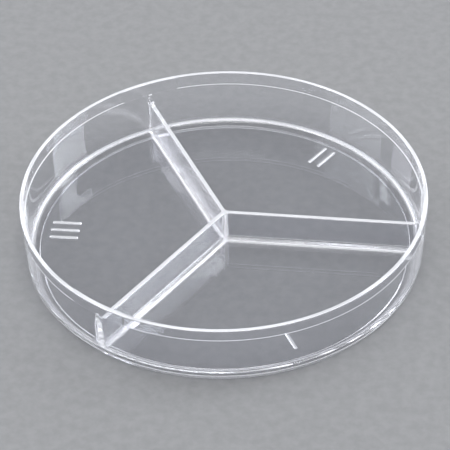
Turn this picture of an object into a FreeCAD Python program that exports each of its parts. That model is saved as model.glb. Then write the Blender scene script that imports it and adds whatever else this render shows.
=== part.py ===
import FreeCAD, Part
import math
import os
import re
import Sketcher

# Dish half of a three-compartment petri dish, one clear polystyrene moulding.
# The frame: millimetres, +Z up, origin on the table under the centre, +X along one divider.

SIZES = [
    # alias, value, meaning
    ("total_height", 14.7, "table to the top of the rim"),
    ("rim_radius", 45.0, "outside of the rim"),
    ("rim_rounding", 0.25, "radius on the outer edge of the rim"),
    ("rim_inner_radius", 43.9, "inside of the rim between the recesses"),
    ("recess_radius", 44.05, "inside of the rim in the shallow recesses"),
    ("recess_sweep", 102.8, "angle that one recess covers between two dividers"),
    ("step_level", 11.65, "height of the step line under the recesses"),
    ("step_inner_radius", 43.85, "inside of the wall at the step line"),
    ("wall_foot_radius", 44.25, "outside of the wall above its lower corner"),
    ("wall_foot_inner", 43.3, "inside of the wall above the floor fillet"),
    ("lower_rounding", 0.6, "radius of the outer lower corner"),
    ("floor_level", 1.87, "top of the floor"),
    ("underside_level", 0.87, "bottom of the floor"),
    ("floor_fillet", 1.2, "radius between floor and wall"),
    ("foot_outer_radius", 43.6, "outside of the stacking foot"),
    ("foot_inner_radius", 41.2, "inside of the stacking foot"),
    ("foot_rounding", 0.25, "radius on the edges of the foot that touch the table"),
    ("divider_level", 9.55, "top of the dividers"),
    ("divider_half", 0.62, "half thickness of a divider"),
    ("divider_fillet", 1.0, "radius between a divider and the floor"),
    ("divider_sole", 0.05, "thickness and spare width of the feather edge of that fillet"),
    ("divider_end", 44.0, "length of a divider before the wall trims it"),
    ("corner_flat", 0.3, "flat on top of the raised corner where a divider meets the wall"),
    ("wall_fillet", 1.0, "radius of the upright corners between a divider and the wall"),
    ("wall_fillet_end", 43.45, "distance from the axis to where those corners meet the wall"),
    ("hub_reach", 2.4, "distance from the axis to where a divider leaves the hub"),
    ("hub_fillet", 1.1, "radius of the upright corners between two dividers"),
    ("mark_start", 32.7, "inner end of the section marks from the axis"),
    ("mark_length", 6.5, "length of one raised bar"),
    ("mark_width", 0.8, "width of one raised bar on the floor"),
    ("mark_crown", 0.35, "width of the flat top of one raised bar"),
    ("mark_relief", 0.3, "height of the raised bars"),
    ("mark_pitch", 2.5, "distance between two bars side by side"),
    ("overrun", 1.0, "how far a shape that cuts or joins runs past the surface it meets"),
]

ARM_ANGLES = {"divider_arm_right": 0, "divider_arm_rear": 120, "divider_arm_front": 240}
# name: (number of bars, direction of the group's middle line in degrees)
MARKS = {
    "section_mark_one": (1, 299.5),
    "section_mark_two": (2, 58.3),
    "section_mark_three": (3, 181.3),
}
SECTIONS = 3
# The wall's straight outside runs from its lower corner to the rim, and this is its radius at the step.
OUTER_AT_STEP = ("wall_foot_radius + (rim_radius - wall_foot_radius)"
                 " * (step_level - underside_level - lower_rounding)"
                 " / (total_height - underside_level - lower_rounding)")
SAME_LEVEL = 1e-4
NEAR = 0.01
# The upright and lengthwise edges of a divider are all longer than this.
LONG_EDGE = 5.0
Z_AXIS = FreeCAD.Vector(0, 0, 1)

doc = FreeCAD.newDocument("petri_dish")
sheet = doc.addObject("Spreadsheet::Sheet", "Sizes")
for row, (alias, number, meaning) in enumerate(SIZES, start=1):
    sheet.set("A%d" % row, meaning)
    sheet.set("B%d" % row, str(number))
    sheet.setAlias("B%d" % row, alias)
working = doc.addObject("Spreadsheet::Sheet", "Working")
doc.recompute()


def cell(formula):
    """Turn a formula written with plain aliases into one that reads the sheet."""
    return re.sub(r"[a-z_]+(?![a-z_]*\()", lambda word: "Sizes." + word.group(), formula)


def value(formula):
    """Work a formula out to a number, in the one cell of the working sheet."""
    working.set("A1", "=" + cell(formula))
    working.recompute()
    return float(working.get("A1"))


def new_body(label):
    body = doc.addObject("PartDesign::Body", label)
    body.Label = label
    return body


def new_sketch(body, name, plane_role, offset=None):
    """A sketch on one of the body's own origin planes, lifted along its normal by a formula."""
    sketch = body.newObject("Sketcher::SketchObject", name)
    plane = next(p for p in body.Origin.OriginFeatures if p.Role == plane_role)
    sketch.AttachmentSupport = (plane, [""])
    sketch.MapMode = "FlatFace"
    if offset:
        sketch.setExpression("AttachmentOffset.Base.z", cell(offset))
    doc.recompute()
    return sketch


def pin(sketch, geometry, position, corner):
    """Fix a vertex of the sketch at a corner given as two formulas."""
    for kind, formula in zip(("DistanceX", "DistanceY"), corner):
        index = sketch.addConstraint(
            Sketcher.Constraint(kind, -1, 1, geometry, position, value(formula)))
        sketch.setExpression("Constraints[%d]" % index, cell(formula))


def outline(sketch, corners, arcs=None):
    """A closed outline through corners; arcs[i] = (radius, centre) bends the side after corner i."""
    arcs = arcs or {}
    points = [FreeCAD.Vector(value(across), value(up), 0) for across, up in corners]
    ends = []
    for i, start in enumerate(points):
        end = points[(i + 1) % len(points)]
        forward = True
        if i in arcs:
            radius, (centre_across, centre_up) = arcs[i]
            centre = FreeCAD.Vector(value(centre_across), value(centre_up), 0)
            # A sketch keeps every arc anticlockwise, so a clockwise side is drawn from its far end.
            forward = (start - centre).cross(end - centre).z > 0
            first, last = (start, end) if forward else (end, start)
            angles = [math.atan2((p - centre).y, (p - centre).x) for p in (first, last)]
            if angles[1] < angles[0]:
                angles[1] += 2 * math.pi
            circle = Part.Circle(centre, Z_AXIS, value(radius))
            sketch.addGeometry(Part.ArcOfCircle(circle, *angles), False)
        else:
            sketch.addGeometry(Part.LineSegment(start, end), False)
        ends.append((1, 2) if forward else (2, 1))
    for i in range(len(points)):
        following = (i + 1) % len(points)
        sketch.addConstraint(
            Sketcher.Constraint("Coincident", i, ends[i][1], following, ends[following][0]))
        pin(sketch, i, ends[i][0], corners[i])
        if i in arcs:
            index = sketch.addConstraint(Sketcher.Constraint("Radius", i, value(arcs[i][0])))
            sketch.setExpression("Constraints[%d]" % index, cell(arcs[i][0]))
    doc.recompute()


def revolve(body, sketch, kind="PartDesign::Revolution", sweep=None):
    """Turn a sketch about the upright axis of the dish, fully or through a formula's angle."""
    feature = body.newObject(kind, "Turned")
    feature.Profile = sketch
    feature.ReferenceAxis = (sketch, ["V_Axis"])
    feature.Angle = 360
    if sweep:
        feature.Midplane = True
        feature.setExpression("Angle", cell(sweep))
    doc.recompute()
    return feature


def pad(body, sketch, length, midplane=False):
    feature = body.newObject("PartDesign::Pad", "Padded")
    feature.Profile = sketch
    feature.Midplane = midplane
    feature.setExpression("Length", cell(length))
    doc.recompute()
    return feature


def round_edges(body, base, wanted, radius):
    """Fillet the edges of base for which wanted(edge) holds, with a formula for the radius."""
    names = ["Edge%d" % (i + 1) for i, edge in enumerate(base.Shape.Edges) if wanted(edge)]
    if not names:
        raise RuntimeError("no edge to round on " + body.Label)
    feature = body.newObject("PartDesign::Fillet", "Rounded")
    feature.Base = (base, names)
    feature.setExpression("Radius", cell(radius))
    doc.recompute()
    return feature


def at_level(edge, level):
    box = edge.BoundBox
    return abs(box.ZMin - level) < SAME_LEVEL and abs(box.ZMax - level) < SAME_LEVEL


def make_floor_plate():
    body = new_body("floor_plate")
    sketch = new_sketch(body, "Section", "XZ_Plane")
    edge_radius = "wall_foot_inner - floor_fillet"
    outline(sketch, [("0", "underside_level"), (edge_radius, "underside_level"),
                     (edge_radius, "floor_level"), ("0", "floor_level")])
    revolve(body, sketch)
    return body


def make_side_wall():
    """The wall leans outwards, and both of its lower corners are round."""
    body = new_body("side_wall")
    sketch = new_sketch(body, "Section", "XZ_Plane")
    seat = "wall_foot_inner - floor_fillet"
    corners = [
        (seat, "underside_level"),
        ("wall_foot_radius - lower_rounding", "underside_level"),
        ("wall_foot_radius", "underside_level + lower_rounding"),
        (OUTER_AT_STEP, "step_level"),
        ("step_inner_radius", "step_level"),
        ("wall_foot_inner", "floor_level + floor_fillet"),
        (seat, "floor_level"),
    ]
    arcs = {
        1: ("lower_rounding", ("wall_foot_radius - lower_rounding", "underside_level + lower_rounding")),
        5: ("floor_fillet", (seat, "floor_level + floor_fillet")),
    }
    outline(sketch, corners, arcs)
    revolve(body, sketch)
    return body


def make_rim_band():
    """The top of the wall, with a shallow recess inside it between each two dividers."""
    body = new_body("rim_band")
    sketch = new_sketch(body, "Section", "XZ_Plane")
    outline(sketch, [(OUTER_AT_STEP, "step_level"), ("rim_radius", "total_height"),
                     ("rim_inner_radius", "total_height"), ("step_inner_radius", "step_level")])
    ring = revolve(body, sketch)

    recess_sketch = new_sketch(body, "RecessSection", "XZ_Plane")
    recess_start = "step_inner_radius - overrun"
    recess_top = "total_height + overrun"
    outline(recess_sketch, [(recess_start, "step_level"), ("recess_radius", "step_level"),
                            ("recess_radius", recess_top), (recess_start, recess_top)])
    recess = revolve(body, recess_sketch, "PartDesign::Groove", "recess_sweep")
    if recess.Shape.Volume >= ring.Shape.Volume:
        raise RuntimeError("the recess cuts nothing")

    pattern = body.newObject("PartDesign::PolarPattern", "Recesses")
    pattern.Originals = [recess]
    pattern.Axis = (sketch, ["V_Axis"])
    pattern.Angle = 360
    pattern.Occurrences = SECTIONS
    body.Tip = pattern
    doc.recompute()

    top = value("total_height")
    outer = value("rim_radius")
    round_edges(
        body, pattern, lambda edge: at_level(edge, top) and edge.BoundBox.XMax > outer - NEAR,
        "rim_rounding")
    # A recess sits in the middle of a section, half a section away from the +X divider.
    body.Placement = FreeCAD.Placement(FreeCAD.Vector(), FreeCAD.Rotation(Z_AXIS, 180 / SECTIONS))
    return body


def make_foot_ring():
    body = new_body("foot_ring")
    sketch = new_sketch(body, "Section", "XZ_Plane")
    outline(sketch, [("foot_inner_radius", "0"), ("foot_outer_radius", "0"),
                     ("foot_outer_radius", "underside_level"), ("foot_inner_radius", "underside_level")])
    ring = revolve(body, sketch)
    round_edges(body, ring, lambda edge: at_level(edge, 0), "foot_rounding")
    return body


def sole_level(edge):
    return at_level(edge, value("floor_level + divider_sole"))


def axis_distance(edge):
    centre = edge.BoundBox.Center
    return math.hypot(centre.x, centre.y)


def make_divider_arm(label, degrees, side_wall):
    """One divider from the hub to the wall, trimmed by the wall that it meets."""
    body = new_body(label + "_blank")
    section = new_sketch(body, "Section", "YZ_Plane", "hub_reach")
    foot_half = "divider_half + divider_fillet + divider_sole"
    sole_top = "floor_level + divider_sole"
    outline(section, [
        ("-(%s)" % foot_half, "floor_level"), (foot_half, "floor_level"),
        (foot_half, sole_top), ("divider_half", sole_top),
        ("divider_half", "divider_level"), ("-divider_half", "divider_level"),
        ("-divider_half", sole_top), ("-(%s)" % foot_half, sole_top)])
    blade = pad(body, section, "divider_end - hub_reach")
    half = value("divider_half")
    blade = round_edges(
        body, blade,
        lambda edge: (sole_level(edge) and edge.Length > LONG_EDGE
                      and abs(edge.BoundBox.Center.y) < half + NEAR),
        "divider_fillet")

    corner = new_sketch(body, "RaisedCorner", "XZ_Plane")
    arc_start = "step_inner_radius - corner_flat - (step_level - divider_level)"
    outline(corner, [
        (arc_start, "divider_level - overrun"), ("divider_end", "divider_level - overrun"),
        ("divider_end", "step_level"), ("step_inner_radius - corner_flat", "step_level"),
        (arc_start, "divider_level")],
        {3: ("step_level - divider_level", (arc_start, "step_level"))})
    pad(body, corner, "2 * divider_half", midplane=True)

    flare = new_sketch(body, "WallCorners", "XY_Plane", "floor_level")
    flare_start = "wall_fillet_end - wall_fillet"
    flare_half = "divider_half + wall_fillet"
    outline(flare, [
        (flare_start, "-divider_half"), ("wall_fillet_end", "-(%s)" % flare_half),
        ("divider_end", "-(%s)" % flare_half), ("divider_end", flare_half),
        ("wall_fillet_end", flare_half), (flare_start, "divider_half")],
        {0: ("wall_fillet", (flare_start, "-(%s)" % flare_half)),
         4: ("wall_fillet", (flare_start, flare_half))})
    pad(body, flare, "divider_level - floor_level")
    body.Placement = FreeCAD.Placement(FreeCAD.Vector(), FreeCAD.Rotation(Z_AXIS, degrees))

    trimmed = doc.addObject("Part::Cut", label)
    trimmed.Label = label
    trimmed.Base = body
    trimmed.Tool = side_wall
    doc.recompute()
    return trimmed


def make_divider_hub():
    """Three short stubs, turned about the axis, with rounded upright corners and a flared foot."""
    body = new_body("divider_hub")
    sole_half = "divider_half + divider_fillet + divider_sole"
    stub_sketch = new_sketch(body, "Stub", "XY_Plane", "floor_level")
    outline(stub_sketch, [("0", "-divider_half"), ("hub_reach", "-divider_half"),
                          ("hub_reach", "divider_half"), ("0", "divider_half")])
    stub = pad(body, stub_sketch, "divider_level - floor_level")
    sole_sketch = new_sketch(body, "Sole", "XY_Plane", "floor_level")
    outline(sole_sketch, [("0", "-(%s)" % sole_half), ("hub_reach", "-(%s)" % sole_half),
                          ("hub_reach", sole_half), ("0", sole_half)])
    sole = pad(body, sole_sketch, "divider_sole")

    pattern = body.newObject("PartDesign::PolarPattern", "ThreeWays")
    pattern.Originals = [stub, sole]
    pattern.Axis = (stub_sketch, ["N_Axis"])
    pattern.Angle = 360
    pattern.Occurrences = SECTIONS
    body.Tip = pattern
    doc.recompute()

    inner_half = value("hub_reach") / 2
    corners = round_edges(
        body, pattern,
        lambda edge: edge.BoundBox.ZLength > LONG_EDGE and axis_distance(edge) < inner_half,
        "hub_fillet")
    round_edges(
        body, corners,
        lambda edge: sole_level(edge) and isinstance(edge.Curve, Part.Circle),
        "divider_fillet")
    return body


def make_section_mark(label, count, degrees):
    """Raised bars side by side that point at the axis, each with sloping sides."""
    slope = "(mark_width - mark_crown) / 2"
    bars = []
    for i in range(count):
        bar = doc.addObject("Part::Wedge", "%s_bar_%d" % (label, i + 1))
        sizes = {
            "Xmin": "mark_start", "Xmax": "mark_start + mark_length",
            "X2min": "mark_start + %s" % slope, "X2max": "mark_start + mark_length - %s" % slope,
            "Ymin": "0", "Ymax": "mark_relief",
            "Zmin": "-mark_width / 2", "Zmax": "mark_width / 2",
            "Z2min": "-mark_crown / 2", "Z2max": "mark_crown / 2",
        }
        for name, formula in sizes.items():
            bar.setExpression(name, cell(formula))
        # A wedge tapers along Y, so it is stood up to taper along Z.
        bar.Placement.Rotation = FreeCAD.Rotation(FreeCAD.Vector(1, 0, 0), 90)
        bar.setExpression("Placement.Base.y", cell("mark_pitch * %s" % (i - (count - 1) / 2)))
        bar.setExpression("Placement.Base.z", cell("floor_level"))
        bars.append(bar)
    mark = doc.addObject("Part::Compound", label)
    mark.Label = label
    mark.Links = bars
    mark.Placement = FreeCAD.Placement(FreeCAD.Vector(), FreeCAD.Rotation(Z_AXIS, degrees))
    doc.recompute()
    return mark


def check_and_export(parts):
    failed = [item.Label for item in doc.Objects if {"Invalid", "Error"} & set(item.State)]
    if failed:
        raise RuntimeError("failed objects: " + ", ".join(failed))
    for part in parts:
        if part.Shape.isNull() or not part.Shape.isValid() or not part.Shape.Solids:
            raise RuntimeError("bad shape: " + part.Label)
    os.makedirs("parts", exist_ok=True)
    for part in parts:
        part.Shape.exportStep("parts/%s.step" % part.Label)
        print("%-22s %d solid(s) %10.2f mm3" % (part.Label, len(part.Shape.Solids), part.Shape.Volume))


side_wall = make_side_wall()
parts = [make_floor_plate(), side_wall, make_rim_band(), make_foot_ring(), make_divider_hub()]
parts += [make_divider_arm(label, degrees, side_wall) for label, degrees in ARM_ANGLES.items()]
parts += [make_section_mark(label, count, degrees) for label, (count, degrees) in MARKS.items()]
doc.recompute()
check_and_export(parts)
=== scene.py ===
import math

import bmesh
import bpy
from mathutils import Matrix, Vector


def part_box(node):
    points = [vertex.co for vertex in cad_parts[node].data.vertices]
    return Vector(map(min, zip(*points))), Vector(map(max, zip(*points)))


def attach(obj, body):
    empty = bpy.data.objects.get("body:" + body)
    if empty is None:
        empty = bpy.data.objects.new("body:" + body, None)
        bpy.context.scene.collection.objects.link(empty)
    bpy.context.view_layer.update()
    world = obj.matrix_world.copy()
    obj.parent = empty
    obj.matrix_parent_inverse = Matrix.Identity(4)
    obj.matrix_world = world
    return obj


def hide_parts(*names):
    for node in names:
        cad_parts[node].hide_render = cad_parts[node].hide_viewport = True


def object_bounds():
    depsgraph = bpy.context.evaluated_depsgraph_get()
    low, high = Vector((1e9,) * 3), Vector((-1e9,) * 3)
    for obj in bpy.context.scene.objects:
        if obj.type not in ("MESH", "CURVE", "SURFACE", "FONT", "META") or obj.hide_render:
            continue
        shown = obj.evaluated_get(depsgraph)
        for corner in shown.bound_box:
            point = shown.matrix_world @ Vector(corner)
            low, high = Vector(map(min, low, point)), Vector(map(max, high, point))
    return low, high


# The dish half of a three-compartment petri dish, in clear polystyrene. The moulding is built
# whole, in millimetres, and then cut into the same named members as the CAD model. The faces of
# those cuts are fully see-through, so the members read as one moulding, as the real one does.

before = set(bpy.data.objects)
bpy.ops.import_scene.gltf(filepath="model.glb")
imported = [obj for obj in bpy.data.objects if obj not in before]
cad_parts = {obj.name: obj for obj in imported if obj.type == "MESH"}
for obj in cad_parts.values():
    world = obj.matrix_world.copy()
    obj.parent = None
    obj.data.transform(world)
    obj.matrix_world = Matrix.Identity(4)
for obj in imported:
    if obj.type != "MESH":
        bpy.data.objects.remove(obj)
cad_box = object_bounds()

MM = 0.001


def node_box(node):
    low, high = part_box(node)
    return low / MM, high / MM


# Levels and radii that the frame gives, in mm.
RIM_TOP = node_box("rim_band")[1].z
RIM_RADIUS = max(node_box("rim_band")[1].x, node_box("rim_band")[1].y)
STEP_LEVEL = node_box("rim_band")[0].z
FLOOR_TOP = node_box("floor_plate")[1].z
UNDERSIDE = node_box("floor_plate")[0].z
FOOT_OUTER = max(node_box("foot_ring")[1].x, node_box("foot_ring")[1].y)
DIVIDER_TOP = node_box("divider_hub")[1].z
MARK_TOP = node_box("section_mark_one")[1].z

# The rest of the section, in mm.
RIM_INNER = 43.9
RECESS_RADIUS = 44.05
RECESS_END_DEG = 8.6
STEP_INNER = 43.85
WALL_FOOT_OUTER = 44.25
WALL_FOOT_INNER = 43.3
FOOT_INNER = 41.2
RIM_ROUNDING = 0.25
RIM_INNER_ROUNDING = 0.1
LOWER_ROUNDING = 0.6
FLOOR_FILLET = 1.2
FOOT_ROUNDING = 0.25
FEATHER = 0.01

# The Y divider, in mm and degrees.
ARMS = {"divider_arm_right": 0, "divider_arm_rear": 120, "divider_arm_front": 240}
HALF = 0.62
FILLET = 1.0
HUB_FILLET = 1.1
HUB_REACH = 2.4
LEAST_ARC = 0.02
TOP_ROUNDING = 0.25
# How far the sides of a divider draw in towards its top.
DRAFT = 0.1
# The level run on top of a raised corner, beside the wall.
CORNER_FLAT = 0.3
# Where a divider ends inside the wall, and where dividers and bars end inside the floor.
BURIED_END = 44.15
BURIED_LEVEL = 1.4

# Raised bars that number the sections: how many, and where their middle line points.
MARKS = {"section_mark_one": (1, 299.5),
         "section_mark_two": (2, 58.3),
         "section_mark_three": (3, 181.3)}
MARK_START = 32.7
MARK_LENGTH = 6.5
MARK_WIDTH = 0.8
MARK_CROWN = 0.35
MARK_PITCH = 2.5
MARK_CORNER = 0.2
# Between its foot and its crown a bar's side passes these shares of its height and of its lean.
MARK_SIDE = ((0.62, 0.5), (0.86, 0.72))

# The painted highlight: a matt white scatter put where light piped through the plastic and glints
# on rounded edges give bright lines. How matt it is, how much of the light it scatters, and its
# share on flat tops, where fillets run out on the floor, and on the raised bars.
PAINTED_HIGHLIGHT_ROUGHNESS = 0.3
PAINTED_HIGHLIGHT_WHITENESS = 0.75
PAINTED_HIGHLIGHT_ON_FLATS = 0.6
PAINTED_HIGHLIGHT_ON_FILLETS = 0.35
PAINTED_HIGHLIGHT_ON_BARS = 0.5

SEGMENTS = 720
ARC_STEPS = 8
MARK_ARC_STEPS = 4
OUTER_WALL_PARTS = 8
INNER_WALL_PARTS = 6
# Faces that meet at more than this angle, in degrees, keep a sharp edge between them.
SHARP_EDGE_DEG = 28
# A cut stands this far off the surface beside it, so that no cut lies in a surface.
CUT_GAP = 0.03
# The material of a face: clear plastic, a see-through cut, or the plastic of a raised bar, which
# carries an even painted highlight.
REAL, SEAM, BAR = 0, 1, 2


# ---------------------------------------------------------------- materials

def add_node(tree, kind, **settings):
    node = tree.nodes.new(kind)
    for key, setting in settings.items():
        if hasattr(node, key):
            setattr(node, key, setting)
        else:
            node.inputs[key.replace("_", " ")].default_value = setting
    return node


def new_material(name):
    material = bpy.data.materials.new(name)
    material.use_nodes = True
    material.node_tree.nodes.clear()
    return material, material.node_tree


def smooth_step(tree, source, low, high, from_value=0.0, to_value=1.0):
    """A soft change from one value to another while the source goes from low to high."""
    ramp = add_node(tree, "ShaderNodeMapRange", interpolation_type="SMOOTHSTEP",
                    From_Min=low, From_Max=high, To_Min=from_value, To_Max=to_value)
    tree.links.new(source, ramp.inputs["Value"])
    return ramp.outputs["Result"]


def combine(tree, operation, first, second):
    node = add_node(tree, "ShaderNodeMath", operation=operation)
    for socket, source in zip(node.inputs, (first, second)):
        if isinstance(source, float):
            socket.default_value = source
        else:
            tree.links.new(source, socket)
    return node.outputs[0]


def profile(tree, source, stops):
    """A curve given by (source value, result) stops, with straight lines between them."""
    ramp = add_node(tree, "ShaderNodeValToRGB")
    elements = ramp.color_ramp.elements
    while len(elements) < len(stops):
        elements.new(0.5)
    for element, (position, level) in zip(elements, stops):
        element.position = position
        element.color = (level, level, level, 1)
    tree.links.new(source, ramp.inputs["Fac"])
    return ramp.outputs["Color"]


def above(tree, source, level):
    return combine(tree, "GREATER_THAN", source, level * MM)


def both(tree, first, second):
    return combine(tree, "MULTIPLY", first, second)


def painted_edge_highlights(tree, place):
    """How much painted highlight the surface gets: matt white that stands in for piped light and
    edge glints. The level tops of the rim and the dividers get it, and most of all the narrow
    ledge. So do the runs of the fillets on the floor, and the rounded corner under the wall."""
    where = add_node(tree, "ShaderNodeSeparateXYZ")
    tree.links.new(place.outputs["Object"], where.inputs[0])
    facing = add_node(tree, "ShaderNodeSeparateXYZ")
    tree.links.new(place.outputs["Normal"], facing.inputs[0])
    height = where.outputs["Z"]
    upward = profile(tree, facing.outputs["Z"],
                     ((0.7, 0), (0.9, 0.6), (0.97, 0.75), (1.0, PAINTED_HIGHLIGHT_ON_FLATS)))
    tops = both(tree, above(tree, height, DIVIDER_TOP - HALF), upward)
    below_ledge = combine(tree, "LESS_THAN", height, (STEP_LEVEL + CUT_GAP) * MM)
    at_ledge = both(tree, above(tree, height, STEP_LEVEL - CUT_GAP), below_ledge)
    level_face = combine(tree, "GREATER_THAN", facing.outputs["Z"], 0.9)
    tops = combine(tree, "MAXIMUM", tops, both(tree, at_ledge, level_face))

    slanting = profile(tree, facing.outputs["Z"],
                       ((0.15, 0), (0.3, PAINTED_HIGHLIGHT_ON_FILLETS), (0.985, PAINTED_HIGHLIGHT_ON_FILLETS), (0.998, 0)))
    near_floor = smooth_step(tree, height, (FLOOR_TOP + 0.3) * MM, (FLOOR_TOP + 0.6) * MM, 1.0, 0.0)
    runs = both(tree, slanting, both(tree, above(tree, height, FLOOR_TOP), near_floor))

    across = add_node(tree, "ShaderNodeVectorMath", operation="LENGTH")
    flat_place = add_node(tree, "ShaderNodeCombineXYZ")
    for axis in "XY":
        tree.links.new(where.outputs[axis], flat_place.inputs[axis])
    tree.links.new(flat_place.outputs[0], across.inputs[0])
    outside = above(tree, across.outputs["Value"], FOOT_OUTER - FOOT_ROUNDING)
    corner_top = UNDERSIDE + LOWER_ROUNDING
    low = smooth_step(tree, height, (corner_top - 0.1) * MM, (corner_top + 0.2) * MM, 1.0, 0.0)
    corner = both(tree, outside, both(tree, low, above(tree, height, UNDERSIDE - CUT_GAP / 2)))
    return combine(tree, "MAXIMUM", combine(tree, "MAXIMUM", tops, runs), corner)


def painted_bar_highlight(_tree, _place):
    """The raised bars get an even painted highlight, matt white for their bright edge lines,
    wherever the light meets them.
    """
    return PAINTED_HIGHLIGHT_ON_BARS


def clear_polystyrene(name, painted_highlight_mask):
    """Clear, faintly blue, hard plastic with moulding waviness and dust haze, and a painted
    highlight: matt white where the given mask asks for it.
    """
    material, tree = new_material(name)
    link = tree.links.new
    place = add_node(tree, "ShaderNodeTexCoord")

    waves = add_node(tree, "ShaderNodeTexNoise", Scale=60.0, Detail=1.0, Roughness=0.4)
    haze = add_node(tree, "ShaderNodeTexNoise", Scale=170.0, Detail=5.0, Roughness=0.65)
    for noise in (waves, haze):
        link(place.outputs["Object"], noise.inputs["Vector"])
    painted_highlight_share = painted_highlight_mask(tree, place)
    polish = smooth_step(tree, haze.outputs["Fac"], 0.35, 0.75, 0.0, 0.03)
    # The painted highlight makes the plastic matt and white, scattering light instead of letting it
    # through, for the bright edge lines of piped light and glints.
    rough = combine(tree, "MAXIMUM", polish, combine(tree, "MULTIPLY", painted_highlight_share, PAINTED_HIGHLIGHT_ROUGHNESS))
    through = combine(tree, "SUBTRACT", 1.0, combine(tree, "MULTIPLY", painted_highlight_share, PAINTED_HIGHLIGHT_WHITENESS))
    coarse = add_node(tree, "ShaderNodeBump", Strength=0.2, Distance=0.000004)
    link(waves.outputs["Fac"], coarse.inputs["Height"])

    plastic = add_node(tree, "ShaderNodeBsdfPrincipled")
    plastic.inputs["Base Color"].default_value = (0.972, 0.976, 1.0, 1)
    plastic.inputs["IOR"].default_value = 1.59
    link(through, plastic.inputs["Transmission Weight"])
    link(rough, plastic.inputs["Roughness"])
    link(coarse.outputs["Normal"], plastic.inputs["Normal"])

    # Lamps, and the room as the bench sees it, shine through the plastic. A face lets less through
    # the more it is seen edge on, which gives the rim, the wall and the foot their shadow lines.
    edge_on = add_node(tree, "ShaderNodeLayerWeight", Blend=0.24)
    dimming = add_node(tree, "ShaderNodeMix", data_type="RGBA")
    link(edge_on.outputs["Facing"], dimming.inputs["Factor"])
    dimming.inputs["A"].default_value = (0.985, 0.988, 1.0, 1)
    dimming.inputs["B"].default_value = (0.05, 0.05, 0.06, 1)
    passed = add_node(tree, "ShaderNodeBsdfTransparent")
    link(dimming.outputs["Result"], passed.inputs["Color"])
    rays = add_node(tree, "ShaderNodeLightPath")
    surface = plastic
    for ray in ("Is Diffuse Ray", "Is Shadow Ray"):
        mix = add_node(tree, "ShaderNodeMixShader")
        link(rays.outputs[ray], mix.inputs[0])
        link(surface.outputs[0], mix.inputs[1])
        link(passed.outputs[0], mix.inputs[2])
        surface = mix
    output = add_node(tree, "ShaderNodeOutputMaterial")
    link(surface.outputs[0], output.inputs["Surface"])
    return material


def invisible_seam():
    """The faces inside the moulding where it is cut into members. Light passes them untouched."""
    material, tree = new_material("seam_inside_moulding")
    passed = add_node(tree, "ShaderNodeBsdfTransparent", Color=(1, 1, 1, 1))
    output = add_node(tree, "ShaderNodeOutputMaterial")
    tree.links.new(passed.outputs[0], output.inputs["Surface"])
    return material


def pale_bench():
    material, tree = new_material("pale_bench")
    link = tree.links.new
    place = add_node(tree, "ShaderNodeTexCoord").outputs["Object"]
    grain = add_node(tree, "ShaderNodeTexNoise", Scale=420.0, Detail=3.0, Roughness=0.6)
    link(place, grain.inputs["Vector"])
    tint = add_node(tree, "ShaderNodeValToRGB")
    tint.color_ramp.elements[0].position = 0.35
    tint.color_ramp.elements[0].color = (0.205, 0.206, 0.208, 1)
    tint.color_ramp.elements[1].position = 0.65
    tint.color_ramp.elements[1].color = (0.232, 0.233, 0.235, 1)
    link(grain.outputs["Fac"], tint.inputs["Fac"])
    bump = add_node(tree, "ShaderNodeBump", Strength=0.15, Distance=0.0001)
    link(grain.outputs["Fac"], bump.inputs["Height"])
    surface = add_node(tree, "ShaderNodeBsdfPrincipled", Roughness=0.55)
    link(tint.outputs["Color"], surface.inputs["Base Color"])
    link(bump.outputs["Normal"], surface.inputs["Normal"])
    output = add_node(tree, "ShaderNodeOutputMaterial")
    link(surface.outputs[0], output.inputs["Surface"])
    return material


# The moulding's plastic carries painted highlights on its edges and tops; the bars' plastic is
# evenly covered in painted highlight.
PLASTIC = clear_polystyrene("clear_moulding", painted_edge_highlights)
BAR_PLASTIC_PAINTED_HIGHLIGHT = clear_polystyrene("bar_painted_highlight", painted_bar_highlight)
SEAM_MATERIAL = invisible_seam()


# ---------------------------------------------------------------- solids, in mm

def solid(name, rings, closed_stack=False, slot=REAL):
    """A closed mesh from rings with the same number of points; its ends are capped, or joined."""
    mesh = bpy.data.meshes.new(name)
    count = len(rings[0])
    points = [point for ring in rings for point in ring]
    last = len(rings) if closed_stack else len(rings) - 1
    faces = []
    for level in range(last):
        low, high = level * count, (level + 1) % len(rings) * count
        for i in range(count):
            j = (i + 1) % count
            faces.append((low + i, low + j, high + j, high + i))
    if not closed_stack:
        faces.append(tuple(reversed(range(count))))
        faces.append(tuple(range(last * count, (last + 1) * count)))
    mesh.from_pydata(points, [], faces)
    edit = bmesh.new()
    edit.from_mesh(mesh)
    bmesh.ops.recalc_face_normals(edit, faces=edit.faces)
    edit.to_mesh(mesh)
    edit.free()
    for material in (PLASTIC, SEAM_MATERIAL, BAR_PLASTIC_PAINTED_HIGHLIGHT):
        mesh.materials.append(material)
    mesh.polygons.foreach_set("material_index", [slot] * len(mesh.polygons))
    thing = bpy.data.objects.new(name, mesh)
    bpy.context.scene.collection.objects.link(thing)
    return thing


def turned(name, section, slot=REAL):
    """A solid of revolution. section(angle) gives the (radius, level) points of the closed section
    from its lowest middle point outwards and round; its first and last points cap the middle."""
    columns = []
    for i in range(SEGMENTS):
        angle = 2 * math.pi * i / SEGMENTS
        columns.append([(r * math.cos(angle), r * math.sin(angle), z) for r, z in section(angle)])
    rings = [list(ring) for ring in zip(*columns)]
    return solid(name, rings, slot=slot)


def turned_ring(name, section, slot=SEAM):
    """A ring whose section is a closed outline that keeps clear of the axis."""
    columns = []
    for i in range(SEGMENTS):
        angle = 2 * math.pi * i / SEGMENTS
        columns.append([(r * math.cos(angle), r * math.sin(angle), z) for r, z in section])
    return solid(name, columns, closed_stack=True, slot=slot)


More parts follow.
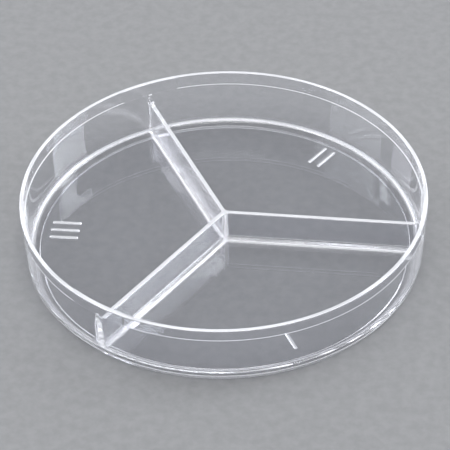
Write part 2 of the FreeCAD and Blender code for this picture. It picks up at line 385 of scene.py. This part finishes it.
def block(name, low, high, degrees=0.0):
    """A box used to cut, turned about the axis of the dish."""
    turn = Matrix.Rotation(math.radians(degrees), 3, "Z")
    rings = []
    for z in (low[2], high[2]):
        corners = [(low[0], low[1]), (high[0], low[1]), (high[0], high[1]), (low[0], high[1])]
        rings.append([tuple(turn @ Vector((x, y, z))) for x, y in corners])
    return solid(name, rings, slot=SEAM)


def boolean(target, other, operation):
    """The mesh of target joined with, or cut by, other."""
    modifier = target.modifiers.new(operation, "BOOLEAN")
    modifier.solver = "MANIFOLD"
    modifier.operation = operation
    modifier.object = other
    evaluated = target.evaluated_get(bpy.context.evaluated_depsgraph_get())
    mesh = bpy.data.meshes.new_from_object(evaluated)
    target.modifiers.clear()
    return mesh


def join(target, other):
    target.data = boolean(target, other, "UNION")
    bpy.data.objects.remove(other)


def arc(centre, radius, start_deg, end_deg, steps=ARC_STEPS):
    points = []
    for i in range(steps + 1):
        angle = math.radians(start_deg + (end_deg - start_deg) * i / steps)
        points.append((centre[0] + radius * math.cos(angle), centre[1] + radius * math.sin(angle)))
    return points


def straight(start, end, parts):
    """Points between two ends, without the ends."""
    return [tuple(a + (b - a) * i / parts for a, b in zip(start, end)) for i in range(1, parts)]


# ---------------------------------------------------------------- the moulding

def wall_inside(level):
    """Radius of the wall's inner face, which leans outwards above the floor fillet."""
    slope = (STEP_INNER - WALL_FOOT_INNER) / (STEP_LEVEL - FLOOR_TOP - FLOOR_FILLET)
    return WALL_FOOT_INNER + slope * max(0.0, level - FLOOR_TOP - FLOOR_FILLET)


def in_recess(angle):
    """True where the rim is recessed inside, which is everywhere but close to a divider."""
    from_arm = math.degrees(angle) % 120
    return min(from_arm, 120 - from_arm) > RECESS_END_DEG


def shell_section(angle):
    recessed = in_recess(angle)
    top_inner = RECESS_RADIUS if recessed else RIM_INNER
    ledge = RECESS_RADIUS if recessed else STEP_INNER + FEATHER
    bead = FOOT_ROUNDING
    points = [(FOOT_INNER, UNDERSIDE)]
    points += arc((FOOT_INNER + bead, bead), bead, 180, 270)
    points += arc((FOOT_OUTER - bead, bead), bead, 270, 360)
    points += [(FOOT_OUTER, UNDERSIDE)]
    corner = (WALL_FOOT_OUTER - LOWER_ROUNDING, UNDERSIDE + LOWER_ROUNDING)
    points += arc(corner, LOWER_ROUNDING, 270, 360)
    brow = (RIM_RADIUS - RIM_ROUNDING, RIM_TOP - RIM_ROUNDING)
    brow_points = arc(brow, RIM_ROUNDING, 0, 90)
    points += straight(points[-1], brow_points[0], OUTER_WALL_PARTS) + brow_points
    lip = (top_inner + RIM_INNER_ROUNDING, RIM_TOP - RIM_INNER_ROUNDING)
    points += arc(lip, RIM_INNER_ROUNDING, 90, 180)
    points += [(ledge, STEP_LEVEL), (STEP_INNER, STEP_LEVEL)]
    inner_foot = (WALL_FOOT_INNER, FLOOR_TOP + FLOOR_FILLET)
    points += straight((STEP_INNER, STEP_LEVEL), inner_foot, INNER_WALL_PARTS)
    fillet_centre = (WALL_FOOT_INNER - FLOOR_FILLET, FLOOR_TOP + FLOOR_FILLET)
    points += arc(fillet_centre, FLOOR_FILLET, 0, -90, 2 * ARC_STEPS)
    return points


def divider_outline(level, inset, reach):
    """The plan of the whole Y at a level. reach is the radius left in its upright corners."""
    side = HALF + FILLET - reach
    if inset:
        side = HALF - inset
        reach = FILLET + inset
    wall = wall_inside(level) + CUT_GAP
    corner_y = HALF + FILLET
    hub_radius = reach + HUB_FILLET - FILLET
    points = []
    for degrees in ARMS.values():
        turn = Matrix.Rotation(math.radians(degrees), 2)
        lower = [(x, -y) for x, y in arc((wall - FILLET, corner_y), reach, 270, 360)]
        upper = arc((wall - FILLET, corner_y), reach, 360, 270)
        plan = lower + [(BURIED_END, -corner_y), (BURIED_END, corner_y)] + upper
        far = (side + hub_radius) / math.sin(math.radians(60))
        centre = (far * math.cos(math.radians(60)), far * math.sin(math.radians(60)))
        plan += arc(centre, hub_radius, 270, 210)
        points += [tuple(turn @ Vector(point)) for point in plan]
    return points


def divider():
    """The Y with its flared foot and softened top edges. Its foot is buried in the floor."""
    levels = [(BURIED_LEVEL, 0, LEAST_ARC), (FLOOR_TOP + CUT_GAP / 10, 0, LEAST_ARC)]
    for i in range(1, 2 * ARC_STEPS + 1):
        angle = math.pi / 2 * i / (2 * ARC_STEPS)
        levels.append((FLOOR_TOP + FILLET * (1 - math.cos(angle)), 0,
                       max(LEAST_ARC, FILLET * math.sin(angle))))
    levels.append((FLOOR_TOP + FLOOR_FILLET, 0, FILLET))
    for i in range(ARC_STEPS + 1):
        angle = math.pi / 2 * i / ARC_STEPS
        levels.append((DIVIDER_TOP - TOP_ROUNDING * (1 - math.sin(angle)),
                       DRAFT + TOP_ROUNDING * (1 - math.cos(angle)), FILLET))
    rings = []
    for level, inset, reach in levels:
        rings.append([(x, y, level) for x, y in divider_outline(level, inset, reach)])
    return solid("divider", rings)


def raised_corner(name, degrees):
    """The concave rise of a divider's top where it meets the wall."""
    rise = STEP_LEVEL - DIVIDER_TOP
    start = STEP_INNER - CORNER_FLAT - rise
    half = HALF - DRAFT - FEATHER / 5
    sections = []
    for i in range(ARC_STEPS + 1):
        angle = math.pi / 2 * i / ARC_STEPS
        sections.append((half - TOP_ROUNDING * (1 - math.cos(angle)),
                         TOP_ROUNDING * (1 - math.sin(angle))))
    mirrored = [(-y, inset) for y, inset in reversed(sections)]
    turn = Matrix.Rotation(math.radians(degrees), 3, "Z")
    rings = []
    for y, inset in sections + mirrored:
        radius = rise + inset
        top_angle = -math.degrees(math.asin(inset / radius))
        outline = [(start, DIVIDER_TOP - FILLET), (BURIED_END, DIVIDER_TOP - FILLET),
                   (BURIED_END, STEP_LEVEL - inset)]
        outline += arc((start, STEP_LEVEL), radius, top_angle, -90, 2 * ARC_STEPS)
        rings.append([tuple(turn @ Vector((x, y, z))) for x, z in outline])
    return solid(name, rings)


def mark_outline(inset):
    """A bar's plan with rounded corners, lying along +X with its middle line on the axis."""
    half = MARK_WIDTH / 2 - inset
    start, end = MARK_START + inset, MARK_START + MARK_LENGTH - inset
    corner = min(MARK_CORNER, 0.9 * half)
    points = arc((end - corner, -half + corner), corner, 270, 360, MARK_ARC_STEPS)
    points += arc((end - corner, half - corner), corner, 0, 90, MARK_ARC_STEPS)
    points += arc((start + corner, half - corner), corner, 90, 180, MARK_ARC_STEPS)
    points += arc((start + corner, -half + corner), corner, 180, 270, MARK_ARC_STEPS)
    return points


def mark_bars(name, count, degrees):
    relief = MARK_TOP - FLOOR_TOP
    lean = (MARK_WIDTH - MARK_CROWN) / 2
    levels = [(BURIED_LEVEL, 0), (FLOOR_TOP, 0)]
    levels += [(FLOOR_TOP + up * relief, inwards * lean) for up, inwards in MARK_SIDE]
    levels.append((MARK_TOP, lean))
    turn = Matrix.Rotation(math.radians(degrees), 3, "Z")
    bars = []
    for i in range(count):
        across = MARK_PITCH * (i - (count - 1) / 2)
        rings = [[tuple(turn @ Vector((x, y + across, z))) for x, y in mark_outline(inset)]
                 for z, inset in levels]
        bars.append(solid("%s_bar_%d" % (name, i + 1), rings, slot=BAR))
    return bars


def whole_moulding():
    moulding = turned("moulding", shell_section)
    join(moulding, divider())
    for name, degrees in ARMS.items():
        join(moulding, raised_corner(name + "_corner", degrees))
    for name, (count, degrees) in MARKS.items():
        for bar in mark_bars(name, count, degrees):
            join(moulding, bar)
    return moulding


# ---------------------------------------------------------------- cutting it into members

OUTSIDE = RIM_RADIUS + 2
ABOVE = RIM_TOP + 1
FLOOR_CUT = FLOOR_TOP + CUT_GAP
FOOT_CUT = UNDERSIDE - CUT_GAP
RIM_CUT = STEP_LEVEL - 2 * CUT_GAP
FLOOR_CUT_RADIUS = WALL_FOOT_INNER - FLOOR_FILLET


def wall_cut_line():
    """(radius, level) points just inside the wall's inner face, from the floor up to the rim."""
    fillet_centre = (FLOOR_CUT_RADIUS, FLOOR_TOP + FLOOR_FILLET)
    points = arc(fillet_centre, FLOOR_FILLET - CUT_GAP, -90, 0, 2 * ARC_STEPS)
    return points + [(wall_inside(RIM_CUT) - CUT_GAP, RIM_CUT)]


def interior():
    """The space inside the wall and above the floor."""
    line = wall_cut_line()
    line.append((line[-1][0], ABOVE))
    return turned("interior", lambda angle: line, slot=SEAM)


def floor_space():
    line = [(FLOOR_CUT_RADIUS, FOOT_CUT), (FLOOR_CUT_RADIUS, FLOOR_CUT)]
    return turned("floor_space", lambda angle: line, slot=SEAM)


def wall_space():
    line = wall_cut_line()
    outline = [(FLOOR_CUT_RADIUS, FOOT_CUT), (OUTSIDE, FOOT_CUT), (OUTSIDE, RIM_CUT)]
    return turned_ring("wall_space", outline + line[::-1])


def rim_space():
    inner = wall_cut_line()[-1][0]
    return turned_ring("rim_space",
                       [(inner, RIM_CUT), (OUTSIDE, RIM_CUT), (OUTSIDE, ABOVE), (inner, ABOVE)])


def foot_space():
    return turned("foot_space", lambda angle: [(OUTSIDE, -1.0), (OUTSIDE, FOOT_CUT)], slot=SEAM)


def keep(source, spaces):
    """A copy of source, cut down to what lies in all of the given spaces."""
    piece = bpy.data.objects.new("piece", source.data.copy())
    bpy.context.scene.collection.objects.link(piece)
    for space in spaces:
        piece.data = boolean(piece, space, "INTERSECT")
    return piece


def keep_flats_flat(piece):
    """Normals weighted by the area of the faces, so that only the fillets shade as curved."""
    modifier = piece.modifiers.new("even_faces", "WEIGHTED_NORMAL")
    modifier.mode = "FACE_AREA"
    modifier.keep_sharp = True
    modifier.weight = 60
    evaluated = piece.evaluated_get(bpy.context.evaluated_depsgraph_get())
    mesh = bpy.data.meshes.new_from_object(evaluated)
    piece.modifiers.clear()
    piece.data = mesh
    mesh.name = piece.name


def finish_piece(piece, node):
    """Real size, clean mesh, soft shading, and its place in the frame's tables."""
    piece.name = node + "_look"
    piece.data.name = piece.name
    piece.data.transform(Matrix.Scale(MM, 4))
    edit = bmesh.new()
    edit.from_mesh(piece.data)
    bmesh.ops.dissolve_degenerate(edit, edges=edit.edges, dist=1e-8)
    edit.to_mesh(piece.data)
    edit.free()
    piece.data.shade_smooth()
    piece.data.set_sharp_from_angle(angle=math.radians(SHARP_EDGE_DEG))
    keep_flats_flat(piece)
    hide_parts(node)
    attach(piece, "root")
    return piece


def build_dish():
    moulding = whole_moulding()
    inside = interior()
    inner_parts = keep(moulding, [inside])
    spaces = {"floor_plate": floor_space(), "side_wall": wall_space(),
              "rim_band": rim_space(), "foot_ring": foot_space()}
    pieces = {node: keep(moulding, [space]) for node, space in spaces.items()}

    half_width = HALF + FILLET + 3 * CUT_GAP
    for node, degrees in ARMS.items():
        spaces[node] = block(node, (HUB_REACH, -half_width, FLOOR_TOP),
                             (OUTSIDE, half_width, ABOVE), degrees)
    hub_size = HUB_REACH / math.cos(math.radians(60))
    hub_rings = []
    for z in (FLOOR_TOP, ABOVE):
        ring = [(hub_size * math.cos(math.radians(a)), hub_size * math.sin(math.radians(a)), z)
                for a in (60, 180, 300)]
        hub_rings.append(ring)
    spaces["divider_hub"] = solid("divider_hub", hub_rings, slot=SEAM)
    for node, (count, degrees) in MARKS.items():
        reach = MARK_PITCH * count / 2
        spaces[node] = block(node, (MARK_START - 1, -reach, FLOOR_TOP),
                             (MARK_START + MARK_LENGTH + 1, reach, MARK_TOP + 1), degrees)
    for node in list(ARMS) + ["divider_hub"] + list(MARKS):
        pieces[node] = keep(inner_parts, [spaces[node]])

    for thing in [moulding, inside, inner_parts] + list(spaces.values()):
        bpy.data.objects.remove(thing)
    for node, piece in pieces.items():
        finish_piece(piece, node)
    return pieces


# ---------------------------------------------------------------- the stage

# In metres.
BENCH_REACH = 3.0
LAMP_DISTANCE = 1.2


def bench():
    size = BENCH_REACH
    mesh = bpy.data.meshes.new("bench")
    mesh.from_pydata([(-size, -size, 0), (size, -size, 0), (size, size, 0), (-size, size, 0)], [],
                     [(0, 1, 2, 3)])
    mesh.materials.append(pale_bench())
    top = bpy.data.objects.new("bench", mesh)
    top.location.z = cad_box[0][2]
    bpy.context.scene.collection.objects.link(top)


def softbox(name, azimuth, elevation, size, brightness, color=(1, 1, 1), mirrored=True):
    """A square-edged soft light. It faces the dish from azimuth and elevation, in degrees, and its
    size is the width and height it shows from there, in degrees. brightness is that of its face. A
    lamp that isn't mirrored gives light and shadow, but isn't seen in the plastic."""
    turn = math.radians(azimuth)
    rise = math.radians(elevation)
    towards = Vector((math.cos(turn) * math.cos(rise), math.sin(turn) * math.cos(rise),
                      math.sin(rise)))
    width, height = (2 * LAMP_DISTANCE * math.tan(math.radians(angle) / 2) for angle in size)
    lamp = bpy.data.lights.new(name, "AREA")
    lamp.shape = "RECTANGLE"
    lamp.size, lamp.size_y = width, height
    lamp.energy = brightness * math.pi * width * height
    lamp.color = color
    thing = bpy.data.objects.new(name, lamp)
    thing.location = towards * LAMP_DISTANCE
    thing.rotation_euler = towards.to_track_quat("Z", "Y").to_euler()
    thing.visible_glossy = mirrored
    thing.visible_transmission = mirrored
    bpy.context.scene.collection.objects.link(thing)


def lighting():
    """A plain sky, bright at the horizon and dimmer half-way up, and a few large soft lamps."""
    world = bpy.data.worlds.new("studio")
    world.use_nodes = True
    tree = world.node_tree
    height = add_node(tree, "ShaderNodeSeparateXYZ")
    tree.links.new(add_node(tree, "ShaderNodeTexCoord").outputs["Generated"], height.inputs[0])
    sky = add_node(tree, "ShaderNodeValToRGB")
    tree.links.new(height.outputs["Z"], sky.inputs["Fac"])
    stops = sky.color_ramp.elements
    stops[0].position, stops[0].color = 0.0, (1.5, 1.5, 1.55, 1)
    stops[1].position, stops[1].color = 1.0, (1.0, 1.0, 1.0, 1)
    for position, shade in ((0.35, 1.5), (0.55, 0.4), (0.75, 0.4)):
        stop = stops.new(position)
        stop.color = (shade, shade * 1.02, shade * 1.06, 1)
    tree.links.new(sky.outputs["Color"], tree.nodes["Background"].inputs["Color"])
    bpy.context.scene.world = world

    daylight = (0.9, 0.94, 1.0)
    violet_daylight = (0.9, 0.9, 1.0)
    softbox("overhead", 315, 83, (21, 21), 5.2, mirrored=False)
    softbox("window_right", 20, 31, (24, 24), 7, daylight)
    softbox("window_right_top", 31.5, 50, (11, 14), 7, daylight)
    softbox("window_rear", 148, 28, (20, 24), 3.4, violet_daylight)
    softbox("window_rear_top", 158, 50, (6, 14), 6, daylight)
    softbox("window_left", 192, 40, (33, 26), 2.5, daylight)
    softbox("front_fill", 278, 62, (34, 20), 3)
    bpy.context.scene.view_settings.view_transform = "Standard"


# The view: a long lens, well above the dish and a little to the right of one divider.
# Angles are in degrees, the distance and the target in metres.
VIEW_AZIMUTH = 7.96
VIEW_ELEVATION = 40.24
VIEW_DISTANCE = 0.5572
VIEW_ROLL = 1.59
VIEW_TARGET = (0.00162, -0.01061, RIM_TOP * MM)
LENS_MM = 205.46
SENSOR_MM = 36


def camera():
    azimuth = math.radians(VIEW_AZIMUTH)
    elevation = math.radians(VIEW_ELEVATION)
    roll = math.radians(VIEW_ROLL)
    back = Vector((math.sin(azimuth) * math.cos(elevation),
                   -math.cos(azimuth) * math.cos(elevation), math.sin(elevation)))
    right = Vector((math.cos(azimuth), math.sin(azimuth), 0))
    up = back.cross(right)
    rolled_right = right * math.cos(roll) - up * math.sin(roll)
    rolled_up = right * math.sin(roll) + up * math.cos(roll)
    turn = Matrix((rolled_right, rolled_up, back)).transposed()
    lens = bpy.data.cameras.new("camera")
    lens.sensor_width = SENSOR_MM
    lens.lens = LENS_MM
    lens.clip_start = 0.01
    eye = bpy.data.objects.new("camera", lens)
    place = Vector(VIEW_TARGET) + back * VIEW_DISTANCE
    eye.matrix_world = Matrix.Translation(place) @ turn.to_4x4()
    bpy.context.scene.collection.objects.link(eye)
    bpy.context.scene.camera = eye


build_dish()
bench()
lighting()
camera()

# Light runs a long way inside the walls, from edge to edge, which is what makes the edges bright.
LIGHT_PIPE_BOUNCES = 128
cycles = bpy.context.scene.cycles
cycles.max_bounces = LIGHT_PIPE_BOUNCES
cycles.transmission_bounces = LIGHT_PIPE_BOUNCES
cycles.glossy_bounces = LIGHT_PIPE_BOUNCES
cycles.transparent_max_bounces = LIGHT_PIPE_BOUNCES
cycles.caustics_reflective = False
cycles.caustics_refractive = False
